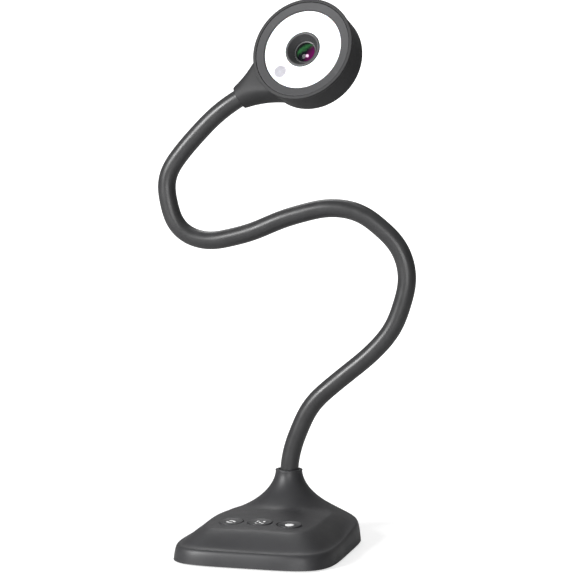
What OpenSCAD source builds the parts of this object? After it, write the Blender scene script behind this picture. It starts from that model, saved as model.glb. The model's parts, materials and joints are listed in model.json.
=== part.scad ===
// Document camera: a weighted base with three push keys, a flexible gooseneck and a round lit head.
// Frame: the origin is on the table under the centre of the base, +X right, -Y front, +Z up.
// The gooseneck is a row of short stiff links with a ball and socket between each pair, under a
// sleeve. It stands in one upright plane, and only its last bend turns a little out of that plane.

/* [Base] */
// Width of the base at its front edge
base_w = 100; // [96:1:104]
// Depth of the base, front to back
base_d = 116; // [113:1:118]
// Share of the width lost from front to back
base_taper = 0.05; // [0:0.01:0.08]
// Squareness of the outline: 2 is an ellipse and 10 is nearly square
base_square = 4.8; // [4:0.1:6]
// Height of the steep outer edge above the table
edge_h = 4; // [3:0.5:6]
// Height that the rounded shoulder climbs to
shoulder_h = 16.5; // [15:0.5:18]
// Distance from the edge to the inner end of the shoulder
shoulder_run = 18.5; // [16:0.5:22]
// Height of the middle of the crowned top over its rim
crown_rise = 5; // [3:0.5:6]
// Wall thickness of the mouldings
wall = 2.2; // [1.8:0.1:2.5]

/* [Neck] */
// Distance of the neck behind the centre of the base
neck_y = 40; // [38:1:42]
// Height of the neck's rim above the table
neck_top = 42; // [41:0.5:44]
// Outside radius of the neck's rim
neck_r = 8.6; // [8:0.1:9]

/* [Keys] */
// Radius of each push key
key_r = 7.2; // [6.5:0.1:7.5]
// Distance between neighbouring keys
key_pitch = 18.1; // [17.5:0.1:19]
// Distance of the row of keys in front of the centre of the base
key_row = 22; // [19:0.2:24]
// Travel of a key when it is pushed
key_travel = 0.6; // [0.4:0.1:0.8]

/* [Gooseneck] */
// Outside radius of the sleeve
sleeve_r = 5.6; // [5.5:0.1:5.7]
// Distance from the foot of the gooseneck to its first pivot
first_pivot = 60; // [58:1:62]
// Distance between neighbouring pivots along the gooseneck
pivot_pitch = 51.5; // [50:0.5:53]

/* [Head] */
// Radius of the head
head_r = 32.5; // [32:0.5:34]
// Thickness of the head
head_t = 23.6; // [23:0.2:25]
// Distance from the tip of the stem to the centre of the head
stem_l = 50.7; // [48:0.1:54]
// Turn of the head about its stem, which tips the face up
head_roll = 21.3; // [0:0.1:40]

/* [Hidden] */
$fn = 96;
EPS = 0.01;
// Running clearance between parts that touch in the real object
GAP = 0.05;
// Height of the base's lower edge over the table, which the feet make
FOOT_LIFT = 0.8;
PLATE_T = 2;
// Distance of the plate's edge in from the foot of the moulding's inner face, which leans inward
PLATE_MARGIN = 1.25;
PLATE_TOP = FOOT_LIFT + PLATE_T;
EDGE_DRAFT = 1.2;
// Distance from the outer edge over which the steep wall rounds over onto the foot of the flare
EDGE_ROUND = 3;
SHOULDER_POWER = 1.3;
// The flare sweeps from the neck's rim out to the crown
FLARE_RUN = 62;
FLARE_FOOT = 9.3;
FLARE_POWER = 1.85;
BLEND = 2;
NECK_BORE = 6.2;
// Height of the flat ceiling under the neck, where the ferrule's flange is screwed on
NECK_CEILING = 24;

// The gooseneck rises straight, then bends through FIRST_TURN. Between each pair of pivots it has two
// equal bends, whose turns are in TURNS from the foot upward, with a straight stretch at each pivot.
// Turns are in degrees, and a left turn is positive.
RISE = 28;
FIRST_TURN = -23;
TURNS = [[-26, -2], [10, 24], [33, 34], [32, 23], [10, -12], [-36, -54], [-49, -8]];
LAST_TURN = -16.2;
LAST_BEND = 29;
// The last bend alone leaves the arm's plane: it is turned by this angle about the arm below it
LAST_TWIST = 11;
PIVOT_FLAT = 5;
TRIM = 0.03;
LAP = 0.3;
ARM_FOOT_Z = 10;
STEM_DEPTH = 14;
PIVOTS = 8;
LINK_R = 4.25;
BALL_R = 3.4;
BALL_NECK_R = 2;
// Height of the flat end of a link below the pivot that its ball sits on
LINK_END = 4.6;
CUP_OPEN = 63;
SLEEVE_OPEN = 64;
DISH_R = 5.95;
SLEEVE_BORE = LINK_R + GAP;
// Lengths of sleeve inside the neck's bore and inside the head's stem
SLEEVE_FOOT = 7;
SLEEVE_IN_STEM = 8;

SWITCH_H = 3.6;
PLUNGER_H = 1;
BOARD_T = 1.6;
BOARD_DROP = 13;
SCREW_R = 1.25;
BOSS_R = 3.4;
KEY_CLEARANCE = 0.15;
FACE_Z = head_t / 2;

// ---------------------------------------------------------------------------------------------
// Shape of the base
// ---------------------------------------------------------------------------------------------

// Half width and half depth of the outline, moved in from the outer face by a distance
function half_w(inward) = base_w / 2 - inward;
function half_d(inward) = base_d / 2 - inward;

// Point on the outline at a given direction from the centre, before the taper
function outline_point(angle, inward) =
    let (
        size = pow(abs(cos(angle)), base_square) + pow(abs(sin(angle)), base_square),
        k = pow(size, -1 / base_square)
    )
    [half_w(inward) * k * cos(angle), half_d(inward) * k * sin(angle)];

function tapered(p) = [p.x * (1 - base_taper * (p.y / base_d + 0.5)), p.y];
function untapered(p) = [p.x / (1 - base_taper * (p.y / base_d + 0.5)), p.y];

// Distance in from the outline, for a point before the taper
function inset_of(p, inward) =
    let (
        x = abs(p.x) / half_w(inward),
        y = abs(p.y) / half_d(inward),
        reach = pow(pow(x, base_square) + pow(y, base_square), 1 / base_square)
    )
    max(0, 1 - reach) * (half_w(inward) + half_d(inward)) / 2;

function shoulder_z(inset) =
    let (q = min(1, max(0, (inset - EDGE_DRAFT) / (shoulder_run - EDGE_DRAFT))))
    inset < EDGE_DRAFT
    ? edge_h * inset / EDGE_DRAFT
    : edge_h + (shoulder_h - edge_h) * pow(1 - pow(1 - q, SHOULDER_POWER), 1 / SHOULDER_POWER);

// Share of the crown's rise over a point: 1 over the centre and 0 at the rim
function dome_share(p, inward) =
    (1 - pow(p.x / half_w(inward), 2)) * (1 - pow(p.y / half_d(inward), 2));

function flare_z(reach) =
    let (e = min(1, max(0, (reach - neck_r) / FLARE_RUN)))
    FLARE_FOOT + (neck_top - FLARE_FOOT) * (1 - pow(1 - pow(1 - e, FLARE_POWER), 1 / FLARE_POWER));

// Height of the moulding's surface over a point before the taper, moved in by a distance
function surface_z(p, inward) =
    let (
        inset = inset_of(p, inward),
        crown = shoulder_z(inset) + crown_rise * dome_share(p, inward),
        flare = flare_z(norm([p.x, p.y - neck_y])),
        step = flare - crown,
        blended = (flare + crown + sqrt(step * step + BLEND * BLEND)) / 2
    )
    crown + (blended - crown) * (1 - pow(1 - min(1, inset / EDGE_ROUND), 2)) - inward;

// One ring of the surface: share 0 is the outline and share 1 is the circle round the neck
function surface_ring(share, inward, neck, ceiling) = [
    for (i = [0 : RING - 1])
        let (
            edge = outline_point(i * 360 / RING, inward),
            away = [edge.x, edge.y - neck_y],
            reach = norm(away),
            r = neck + (reach - neck) * (1 - share),
            p = [away.x / reach * r, neck_y + away.y / reach * r],
            flat = tapered(p)
        )
        [flat.x, flat.y, min(ceiling, surface_z(p, inward))]
];

function outline_ring(z, inward) = [
    for (i = [0 : RING - 1])
        let (p = tapered(outline_point(i * 360 / RING, inward)))
        [p.x, p.y, z]
];

function neck_ring(r, z) = [
    for (i = [0 : RING - 1])
        let (edge = outline_point(i * 360 / RING, 0), away = [edge.x, edge.y - neck_y])
        [away.x / norm(away) * r, neck_y + away.y / norm(away) * r, z]
];

RING = 80;
OUTER_STEPS = 14;
INNER_STEPS = 8;
STEP_POWER = 1.6;

// A closed surface through rings of points, with a middle point at each end
module ring_solid(rings, first, last) {
    count = len(rings);
    points = concat([first], [for (ring = rings) each ring], [last]);
    end = count * RING + 1;
    start_fan = [for (i = [0 : RING - 1]) [0, 1 + i, 1 + (i + 1) % RING]];
    end_base = 1 + (count - 1) * RING;
    end_fan = [for (i = [0 : RING - 1]) [end, end_base + (i + 1) % RING, end_base + i]];
    sides = [
        for (j = [0 : count - 2])
            for (i = [0 : RING - 1])
                let (
                    a = 1 + j * RING + i,
                    b = 1 + j * RING + (i + 1) % RING,
                    c = b + RING,
                    d = a + RING
                )
                each [[a, d, c], [a, c, b]]
    ];
    polyhedron(points, concat(start_fan, sides, end_fan), convexity = 6);
}

// Rings of the moulding's inner face, from near the outline up to the circle under the neck
function inner_rings() = [
    for (k = [1 : INNER_STEPS])
        surface_ring(pow(k / INNER_STEPS, STEP_POWER), wall, neck_r, NECK_CEILING)
];

// The moulding as one skin: down the outside from the neck, round the lower edge, up the inside
module base_skin() {
    outer = [
        for (k = [OUTER_STEPS : -1 : 1])
            surface_ring(pow(k / OUTER_STEPS, STEP_POWER), 0, neck_r, neck_top)
    ];
    rings = concat(
        [neck_ring(neck_r - 1.1, neck_top + 0.7), neck_ring(neck_r - 0.35, neck_top + 0.45)],
        outer,
        [outline_ring(FOOT_LIFT, 0), outline_ring(FOOT_LIFT, wall)],
        inner_rings()
    );
    ring_solid(rings, [0, neck_y, neck_top + 0.7], [0, neck_y, NECK_CEILING]);
}

// The space inside the moulding
module base_space() {
    inner = inner_rings();
    rings = concat(
        [for (k = [INNER_STEPS - 1 : -1 : 0]) inner[k]],
        [outline_ring(FOOT_LIFT, wall)]
    );
    ring_solid(rings, [0, neck_y, NECK_CEILING], [0, 0, FOOT_LIFT]);
}

// Places a child at each of the four screw bosses, over the feet
module at_corners() {
    for (x = [-CORNER_X, CORNER_X]) {
        for (y = [-CORNER_Y, CORNER_Y]) {
            translate([x, y, 0]) children();
        }
    }
}

CORNER_X = 33;
CORNER_Y = 40;

function moulding_z(x, y, inward) = surface_z(untapered([x, y]), inward);

module base_shell() {
    color([0.17, 0.17, 0.18])
    difference() {
        base_skin();
        translate([0, neck_y, NECK_CEILING - 5]) cylinder(h = neck_top, r = NECK_BORE);
        // Flat seat for the ferrule's flange
        translate([0, neck_y, NECK_CEILING - 6]) cylinder(h = 6 + EPS, r = FLANGE_R + 0.2);
        for (i = [-1 : 1]) {
            key_place(i) translate([0, 0, -10]) cylinder(h = 20, r = key_r + KEY_CLEARANCE);
        }
        neck_screw_places() translate([0, 0, -1]) cylinder(h = 6, r = SCREW_R);
        usb_place() translate([0, 0, -4]) usb_slot(0.25, 12);
    }
}

// Height of the bond line between a post and the moulding
BOND = 0.4;

// Posts bonded under the moulding, whose tops follow its inner face and which take the base screws
module shell_posts() {
    color([0.17, 0.17, 0.18])
    difference() {
        intersection() {
            at_corners() translate([0, 0, PLATE_TOP + GAP]) cylinder(h = NECK_CEILING, r = BOSS_R);
            translate([0, 0, -BOND]) base_space();
        }
        at_corners() cylinder(h = 10, r = SCREW_R);
    }
}

module base_outline(inward) {
    polygon([for (i = [0 : RING - 1]) tapered(outline_point(i * 360 / RING, inward))]);
}

module base_plate() {
    color([0.3, 0.3, 0.31])
    difference() {
        union() {
            translate([0, 0, FOOT_LIFT]) linear_extrude(PLATE_T) base_outline(wall + PLATE_MARGIN);
            key_frame()
            for (x = [-26, 26], y = [-6, 8]) {
                translate([x, y, -BOARD_DROP - BOARD_T - 4]) cylinder(h = 4 - GAP, r = 2);
            }
            for (x = [-6, 6]) {
                translate([x, base_d / 2 - 12, FOOT_LIFT + 1])
                    cylinder(h = USB_Z - USB_DROP - FOOT_LIFT - 1 - 2 * GAP, r = 2);
            }
        }
        at_corners() {
            cylinder(h = 10, r = SCREW_R + 0.3);
            cylinder(h = FOOT_LIFT + 1, r = FOOT_R + GAP);
        }
        ballast_screw_places() {
            translate([0, 0, -1]) cylinder(h = 10, r = SCREW_R + 0.3);
            translate([0, 0, -1]) cylinder(h = FOOT_LIFT + 2, r = 2.6);
        }
    }
}

FOOT_R = 6;

module rubber_feet() {
    color([0.08, 0.08, 0.08])
    at_corners() cylinder(h = FOOT_LIFT + 1 - GAP, r = FOOT_R);
}

// Pan-head screw with its head down, standing on the given height
module pan_screw(head_z, head_r, head_h, length) {
    translate([0, 0, head_z]) cylinder(h = head_h, r = head_r);
    translate([0, 0, head_z]) cylinder(h = head_h + length, r = SCREW_R - GAP);
}

module base_screws() {
    // The screws sit over the feet, inside the thickness of the plate
    color("silver")
    at_corners()
        translate([0, 0, FOOT_LIFT + 1 + GAP]) cylinder(h = 7, r = SCREW_R - GAP);
}

BALLAST_W = 74;
BALLAST_D = 44;
BALLAST_H = 9.5;
BALLAST_Y = 16;
BALLAST_SCREW_X = 28;

module ballast_screw_places() {
    for (side = [-1, 1]) {
        translate([side * BALLAST_SCREW_X, BALLAST_Y, 0]) children();
    }
}

CABLE_R = 1.5;
CABLE_Z = ARM_FOOT_Z - GAP - 2;
// Distance that the cable runs forward from under the neck to the edge of the control board
CABLE_RUN = 49.9;

// The cast weight on the base plate, with a round notch that clears the neck's ferrule
module ballast_weight() {
    color([0.36, 0.36, 0.37])
    difference() {
        translate([0, BALLAST_Y, PLATE_TOP + GAP])
            linear_extrude(BALLAST_H) square([BALLAST_W, BALLAST_D], center = true);
        translate([0, neck_y, 0]) cylinder(h = 30, r = 15);
        for (side = [-1, 1]) {
            translate([side * BALLAST_W / 2, BALLAST_Y + BALLAST_D / 2, 0])
                rotate([0, 0, 45]) cube([12, 12, 60], center = true);
        }
        ballast_screw_places() cylinder(h = 9, r = SCREW_R);
        // Groove for the cable
        translate([-CABLE_R - 0.5, -10, CABLE_Z - CABLE_R - 0.5]) cube([2 * CABLE_R + 1, 60, BALLAST_H]);
    }
}

module ballast_screws() {
    color("silver")
    ballast_screw_places() pan_screw(FOOT_LIFT + 0.3, 2.4, 0.65, 6);
}

// ---------------------------------------------------------------------------------------------
// Keys and electronics in the base
// ---------------------------------------------------------------------------------------------

KEY_Z = moulding_z(0, -key_row, 0);
// The keys push square to the top, which leans forward by this much at their row
KEY_LEAN = atan(moulding_z(0, -key_row + 0.5, 0) - moulding_z(0, -key_row - 0.5, 0));

module key_frame() {
    translate([0, -key_row, KEY_Z]) rotate([KEY_LEAN, 0, 0]) children();
}

// Side keys sit lower than the middle key because the top is crowned
function key_drop(i) = i == 0 ? 0 : moulding_z(key_pitch, -key_row, 0) - KEY_Z;

module key_place(i) {
    key_frame() translate([i * key_pitch, 0, key_drop(i)]) children();
}

DISH_DEPTH = 0.7;
DISH_SPHERE = (key_r * key_r + DISH_DEPTH * DISH_DEPTH) / (2 * DISH_DEPTH);

// One key cap: a dished button with a flange under the moulding and a stem over its switch
module key_cap(i) {
    stem_bottom = -BOARD_DROP + SWITCH_H + PLUNGER_H + key_travel + GAP - key_drop(i);
    key_place(i)
    difference() {
        union() {
            translate([0, 0, -wall - 2]) cylinder(h = wall + 2.5, r = key_r);
            translate([0, 0, -wall - 2.6]) cylinder(h = 1.2, r = key_r + 0.9);
            translate([0, 0, stem_bottom]) cylinder(h = -wall - 2 - stem_bottom, r = 2.4);
        }
        translate([0, 0, DISH_SPHERE + 0.5 - DISH_DEPTH]) sphere(DISH_SPHERE + EPS, $fn = 128);
    }
}

MARK_T = 0.12;

// Thin print that lies in the dish of a key, cut to the outline of its child
module key_mark(i) {
    key_place(i)
    intersection() {
        translate([0, 0, -1]) linear_extrude(3) children();
        difference() {
            translate([0, 0, DISH_SPHERE + 0.5 - DISH_DEPTH]) sphere(DISH_SPHERE, $fn = 128);
            translate([0, 0, DISH_SPHERE + 0.5 - DISH_DEPTH + MARK_T]) sphere(DISH_SPHERE, $fn = 128);
        }
    }
}

module rotate_key() {
    color([0.14, 0.14, 0.15]) key_cap(-1);
}

module focus_key() {
    color([0.14, 0.14, 0.15]) key_cap(0);
}

module light_key() {
    color([0.14, 0.14, 0.15]) key_cap(1);
}

// Ring arc in two dimensions, from one angle to another
module arc_band(r, width, from, to) {
    steps = 12;
    angles = [for (k = [0 : steps]) from + (to - from) * k / steps];
    outer = [for (a = angles) (r + width / 2) * [cos(a), sin(a)]];
    inner = [for (k = [steps : -1 : 0]) (r - width / 2) * [cos(angles[k]), sin(angles[k])]];
    polygon(concat(outer, inner));
}

// Two curved arrows that chase each other
module rotate_mark() {
    color("white")
    key_mark(-1)
    for (turn = [0, 180]) {
        rotate([0, 0, turn]) {
            arc_band(2.1, 0.75, 25, 130);
            translate([2.1 * cos(20), 2.1 * sin(20)]) rotate([0, 0, 20])
                polygon([[-1.05, 0.35], [1.05, 0.35], [0, -1.15]]);
        }
    }
}

// Four corner brackets round a dot
module focus_mark() {
    color("white")
    key_mark(0) {
        for (turn = [0 : 90 : 270]) {
            rotate([0, 0, turn])
                polygon([[2.6, 2.6], [2.6, 1.1], [1.95, 1.1], [1.95, 1.95], [1.1, 1.95], [1.1, 2.6]]);
        }
        circle(r = 0.9);
    }
}

module light_mark() {
    color("white") key_mark(1) circle(r = 2.7);
}

module control_board() {
    color([0.05, 0.3, 0.16])
    key_frame()
    translate([0, 1, -BOARD_DROP - BOARD_T])
    linear_extrude(BOARD_T - GAP) square([64, 20], center = true);
}

module key_switches() {
    color([0.1, 0.1, 0.1])
    key_frame()
    for (i = [-1 : 1]) {
        translate([i * key_pitch - 3, -3, -BOARD_DROP]) cube([6, 6, SWITCH_H]);
        translate([i * key_pitch, 0, -BOARD_DROP]) cylinder(h = SWITCH_H + PLUNGER_H, r = 1.7);
    }
}

USB_Z = 7.2;
// Distance from the middle of the socket to the underside of its board
USB_DROP = 2.6;

// Frame at the rear of the base whose Z axis points out of the socket
module usb_place() {
    translate([0, base_d / 2, USB_Z]) rotate([-90, 0, 0]) children();
}

// Flat-sided opening with round ends
module usb_slot(grow, length) {
    linear_extrude(length) {
        square([5.7, 3.2 + 2 * grow], center = true);
        for (side = [-1, 1]) {
            translate([side * 2.85, 0]) circle(r = 1.6 + grow);
        }
    }
}

module usb_socket() {
    color("silver")
    usb_place()
    difference() {
        translate([0, 0, -9]) usb_slot(0, 7.6);
        translate([0, 0, -8]) usb_slot(-0.35, 9);
    }
}

module usb_board() {
    color([0.05, 0.3, 0.16])
    translate([-9, base_d / 2 - 17, USB_Z - USB_DROP - GAP]) cube([18, 13, USB_DROP - 1.6 - GAP]);
}

// ---------------------------------------------------------------------------------------------
// Gooseneck
// ---------------------------------------------------------------------------------------------

HALF_BEND = pivot_pitch / 2 - PIVOT_FLAT;

// Every stretch of the gooseneck as [length, turn]
STRETCHES = concat(
    [[RISE, 0], [first_pivot - RISE - PIVOT_FLAT, FIRST_TURN]],
    [for (pair = TURNS) each [[2 * PIVOT_FLAT, 0], [HALF_BEND, pair[0]], [HALF_BEND, pair[1]]]],
    [[2 * PIVOT_FLAT, 0], [LAST_BEND, LAST_TURN], [STEM_DEPTH, 0]]
);

LAST_BEND_STRETCH = len(STRETCHES) - 2;

function stretch_length(i) = STRETCHES[i][0];
function stretch_turn(i) = STRETCHES[i][1];
function bend_radius(i) = stretch_length(i) / (abs(stretch_turn(i)) * PI / 180);
function stretch_start(i) = i == 0 ? 0 : stretch_start(i - 1) + stretch_length(i - 1);
function stretch_heading(i) = i == 0 ? 90 : stretch_heading(i - 1) + stretch_turn(i - 1);

// How far [x, z] moves in a distance along one stretch
function stretch_step(i, along) =
    let (h = stretch_heading(i))
    stretch_turn(i) == 0
    ? along * [cos(h), sin(h)]
    : let (
        side = sign(stretch_turn(i)),
        r = bend_radius(i),
        turn = side * along / r * 180 / PI
    )
    side * r * [sin(h + turn) - sin(h), cos(h) - cos(h + turn)];

function stretch_point(i) =
    i == 0 ? [0, ARM_FOOT_Z] : stretch_point(i - 1) + stretch_step(i - 1, stretch_length(i - 1));

// Frame on the gooseneck inside one stretch, with Z along it and Y across its plane
module at_stretch(i, along) {
    p = stretch_point(i) + stretch_step(i, along);
    heading = stretch_heading(i) + stretch_turn(i) * along / stretch_length(i);
    translate([p.x, neck_y, p.y]) rotate([0, 90 - heading, 0]) children();
}

// Frame a distance along the last bend, which is turned out of the arm's plane, with Z along it
module at_last_bend(along) {
    r = bend_radius(LAST_BEND_STRETCH);
    turned = along / r * 180 / PI;
    at_stretch(LAST_BEND_STRETCH, 0)
    rotate([0, 0, LAST_TWIST])
    translate([r * (1 - cos(turned)), 0, r * sin(turned)])
    rotate([0, turned, 0])
    children();
}

// Frame at the tip of the stem, where the last straight stretch starts, with Z along it
module at_tip() {
    at_last_bend(LAST_BEND) children();
}

// Pivots are numbered from 1, and the middle of a straight stretch holds each one
function pivot_stretch(k) = 3 * k - 1;

module at_pivot(k) {
    at_stretch(pivot_stretch(k), PIVOT_FLAT) children();
}

// Tube along a bent stretch, with its wall trimmed on both faces and its ends run on into the
// thicker pieces beside it, so that neighbouring pieces join without sharing a surface
module bent_tube(i, r_out, r_in, trim, lap_below, lap_above) {
    side = sign(stretch_turn(i));
    r = bend_radius(i);
    degree = 180 / PI / r;
    at_stretch(i, 0)
    rotate([0, 0, i == LAST_BEND_STRETCH ? LAST_TWIST : 0])
    translate([-side * r, 0, 0])
    rotate([90, 0, side > 0 ? 0 : 180])
    rotate([0, 0, -lap_below * degree])
    rotate_extrude(angle = abs(stretch_turn(i)) + (lap_below + lap_above) * degree)
    translate([r, 0])
    difference() {
        circle(r = r_out - trim);
        if (r_in > 0) circle(r = r_in + trim);
    }
}

// The bent stretches that belong to one section of the gooseneck
module section_bends(k, r_out, r_in) {
    first = k == 0 ? 1 : pivot_stretch(k) + 1;
    single = k == 0 || k == PIVOTS;
    bent_tube(first, r_out, r_in, TRIM, LAP, single ? LAP : 0);
    if (!single) bent_tube(first + 1, r_out, r_in, 2 * TRIM, LAP, LAP);
}

// Half section of everything nearer a pivot's axis than a cone that opens downward
module open_cone_section(half_angle) {
    polygon([[0, 0], [sleeve_r * tan(half_angle), -sleeve_r], [0, -sleeve_r]]);
}

// Half section of a round-ended bar that starts below its pivot and runs up from it
module round_end_section(r) {
    square([r, PIVOT_FLAT]);
    intersection() {
        circle(r = r);
        translate([0, -r]) square([r, r]);
    }
}

// Outer sleeve over one section: a round lip over the lower pivot and a dish at the upper one
module sleeve(k) {
    color([0.12, 0.12, 0.125]) {
        section_bends(k, sleeve_r, SLEEVE_BORE);
        if (k == 0) {
            at_stretch(0, RISE - SLEEVE_FOOT)
            rotate_extrude() translate([SLEEVE_BORE, 0]) square([sleeve_r - SLEEVE_BORE, SLEEVE_FOOT]);
        } else {
            at_pivot(k)
            rotate_extrude()
            difference() {
                round_end_section(sleeve_r);
                circle(r = SLEEVE_BORE);
                square([SLEEVE_BORE, PIVOT_FLAT + 1]);
                open_cone_section(SLEEVE_OPEN);
            }
        }
        if (k == PIVOTS) {
            at_tip()
            rotate_extrude() translate([SLEEVE_BORE, 0]) square([sleeve_r - SLEEVE_BORE, SLEEVE_IN_STEM]);
        } else {
            at_pivot(k + 1)
            rotate_extrude()
            difference() {
                translate([SLEEVE_BORE, -PIVOT_FLAT]) square([sleeve_r - SLEEVE_BORE, PIVOT_FLAT]);
                circle(r = DISH_R);
            }
        }
    }
}

// Stiff link inside the sleeve: a cup on the ball below it and a ball for the cup above it
module link(k) {
    color([0.45, 0.46, 0.48]) {
        section_bends(k, LINK_R, 0);
        if (k == 0) {
            at_stretch(0, 0) cylinder(h = RISE, r = LINK_R);
        } else {
            at_pivot(k)
            rotate_extrude()
            difference() {
                round_end_section(LINK_R);
                circle(r = BALL_R + GAP);
                open_cone_section(CUP_OPEN);
            }
        }
        if (k == PIVOTS) {
            at_tip() cylinder(h = STEM_DEPTH, r = LINK_R);
        } else {
            at_pivot(k + 1)
            rotate_extrude() {
                translate([0, -PIVOT_FLAT]) square([LINK_R, PIVOT_FLAT - LINK_END]);
                translate([0, -PIVOT_FLAT]) square([BALL_NECK_R, PIVOT_FLAT]);
                intersection() {
                    circle(r = BALL_R);
                    translate([0, -BALL_R]) square([BALL_R, 2 * BALL_R]);
                }
            }
        }
    }
}

module sleeve_0() sleeve(0);
module sleeve_1() sleeve(1);
module sleeve_2() sleeve(2);
module sleeve_3() sleeve(3);
module sleeve_4() sleeve(4);
module sleeve_5() sleeve(5);
module sleeve_6() sleeve(6);
module sleeve_7() sleeve(7);
module sleeve_8() sleeve(8);
module link_0() link(0);
module link_1() link(1);
module link_2() link(2);
module link_3() link(3);
module link_4() link(4);
module link_5() link(5);
module link_6() link(6);
module link_7() link(7);
module link_8() link(8);

FLANGE_R = 13;
FLANGE_T = 2;
NECK_SCREW_X = 9.6;

module neck_screw_places() {
    for (side = [-1, 1]) {
        translate([side * NECK_SCREW_X, neck_y, NECK_CEILING]) children();
    }
}

// Metal bush that grips the foot of the gooseneck and is screwed up under the neck
module neck_ferrule() {
    color([0.72, 0.6, 0.3])
    translate([0, neck_y, 0])
    difference() {
        union() {
            translate([0, 0, ARM_FOOT_Z + 3]) cylinder(h = 17, r = NECK_BORE - GAP);
            translate([0, 0, NECK_CEILING - GAP - FLANGE_T]) cylinder(h = FLANGE_T, r = FLANGE_R);
        }
        translate([0, 0, ARM_FOOT_Z]) cylinder(h = 30, r = LINK_R + GAP);
        for (side = [-1, 1]) {
            translate([side * NECK_SCREW_X, 0, 0]) cylinder(h = 40, r = SCREW_R + 0.2);
        }
    }
}

module neck_screws() {
    color("silver")
    neck_screw_places() {
        translate([0, 0, -FLANGE_T - 2 * GAP - 1.5]) cylinder(h = 1.5, r = 2.3);
        translate([0, 0, -FLANGE_T - 2 * GAP - 1.5]) cylinder(h = FLANGE_T + 4.5, r = SCREW_R - GAP);
    }
}

// Cable from the foot of the gooseneck forward to the control board
module base_cable() {
    color([0.1, 0.1, 0.1])
    translate([0, neck_y, CABLE_Z]) {
        cylinder(h = ARM_FOOT_Z - GAP - CABLE_Z, r = CABLE_R);
        sphere(CABLE_R);
        rotate([90, 0, 0]) cylinder(h = CABLE_RUN, r = CABLE_R);
    }
}

// ---------------------------------------------------------------------------------------------
// Head
// ---------------------------------------------------------------------------------------------

// Frame at the tip of the stem with Z toward the head and X out of the back of the head
module stem_frame() {
    at_tip() rotate([0, 0, 90 - head_roll - LAST_TWIST]) children();
}

// Frame at the centre of the head: Z out of the face, -X toward the stem
module head_frame() {
    stem_frame() translate([0, 0, stem_l]) rotate([0, -90, 0]) children();
}

STEM_R = 7.4;
// The stem's side is hollowed by a circle of this radius, at this angle to the stem's axis at its tip
STEM_HOLLOW_R = 65;
STEM_HOLLOW_ANGLE = 11.3;
// Distance from the tip of the stem to its root inside the head's wall
STEM_ROOT = 25;
// Depth of the stem's flat front and back below the faces of the head
STEM_FRONT_STEP = 2.6;
STEM_BACK_STEP = 1.4;
STEM_BORE = sleeve_r + 0.1;
SEAM_R = head_r - 2;
BACK_ROUND = 5;
SIDE_TAPER = 0.9;

// Half section of the solid head, before it is hollowed
module head_section() {
    back_r = head_r - SIDE_TAPER;
    polygon([
        [0, -FACE_Z], [back_r - BACK_ROUND, -FACE_Z], [back_r, -FACE_Z + BACK_ROUND],
        [head_r - 0.4, FACE_Z - 3], [head_r, FACE_Z - 1.2], [head_r, FACE_Z - 0.4],
        [head_r - 0.5, FACE_Z], [0, FACE_Z]
    ]);
    intersection() {
        translate([back_r - BACK_ROUND, -FACE_Z + BACK_ROUND]) circle(r = BACK_ROUND);
        translate([0, -FACE_Z]) square([head_r, BACK_ROUND]);
    }
}

// Half section of the stem, which swells in a hollow curve toward the head
module stem_section() {
    difference() {
        polygon([
            [0, 0], [STEM_R - 0.5, 0], [STEM_R + 0.1, 0.5], [head_r, 0.5],
            [head_r, STEM_ROOT], [0, STEM_ROOT]
        ]);
        translate([
            STEM_R + STEM_HOLLOW_R * cos(STEM_HOLLOW_ANGLE), -STEM_HOLLOW_R * sin(STEM_HOLLOW_ANGLE)
        ])
            circle(r = STEM_HOLLOW_R, $fn = 360);
    }
}

// The flared stem, with a flat front and back that lie inside the thickness of the head
module stem_solid() {
    thickness = head_t - STEM_FRONT_STEP - STEM_BACK_STEP;
    intersection() {
        stem_frame() rotate_extrude() stem_section();
        head_frame()
            translate([-stem_l - 1, -head_r, -FACE_Z + STEM_BACK_STEP])
            cube([STEM_ROOT + 1.5, 2 * head_r, thickness]);
    }
}

LAMP_BOARD_Z = 4;
LAMP_BOARD_T = 1.2;
// Radius of the circle through the head's screws
HEAD_SCREW_R = 24.5;

module head_shell() {
    cavity_r = SEAM_R - 0.6;
    color([0.2, 0.2, 0.21]) {
        difference() {
            union() {
                head_frame() rotate_extrude() head_section();
                stem_solid();
            }
            head_frame() translate([0, 0, -FACE_Z + wall]) cylinder(h = head_t, r = cavity_r - 1);
            head_frame() translate([0, 0, FACE_Z - 3.6]) cylinder(h = head_t, r = SEAM_R);
            stem_frame() translate([0, 0, -1]) cylinder(h = 11, r = STEM_BORE);
            stem_frame() translate([0, 0, -1]) cylinder(h = 40, r = LINK_R + GAP);
            head_frame() screw_ring() translate([0, 0, LAMP_BOARD_Z - 8]) cylinder(h = 12, r = SCREW_R);
        }
        difference() {
            head_frame() screw_ring()
                translate([0, 0, -FACE_Z + 1]) cylinder(h = LAMP_BOARD_Z - GAP + FACE_Z - 1, r = BOSS_R);
            head_frame() screw_ring() translate([0, 0, LAMP_BOARD_Z - 8]) cylinder(h = 12, r = SCREW_R);
        }
    }
}

// Three screw places spread round the lamp board
module screw_ring() {
    for (a = [0 : 120 : 240]) {
        rotate([0, 0, a]) translate([HEAD_SCREW_R, 0, 0]) children();
    }
}

STEM_FERRULE_Z = STEM_DEPTH + GAP;
STEM_FERRULE_L = 4;

// Bush in the stem's bore that stops the gooseneck and lets the cable through
module stem_ferrule() {
    color([0.72, 0.6, 0.3])
    stem_frame()
    difference() {
        translate([0, 0, STEM_FERRULE_Z]) cylinder(h = STEM_FERRULE_L, r = LINK_R);
        cylinder(h = 30, r = HEAD_CABLE_R + 0.3);
    }
}

DIFFUSER_R = 24.9;
BEZEL_R = 11.25;

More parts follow.
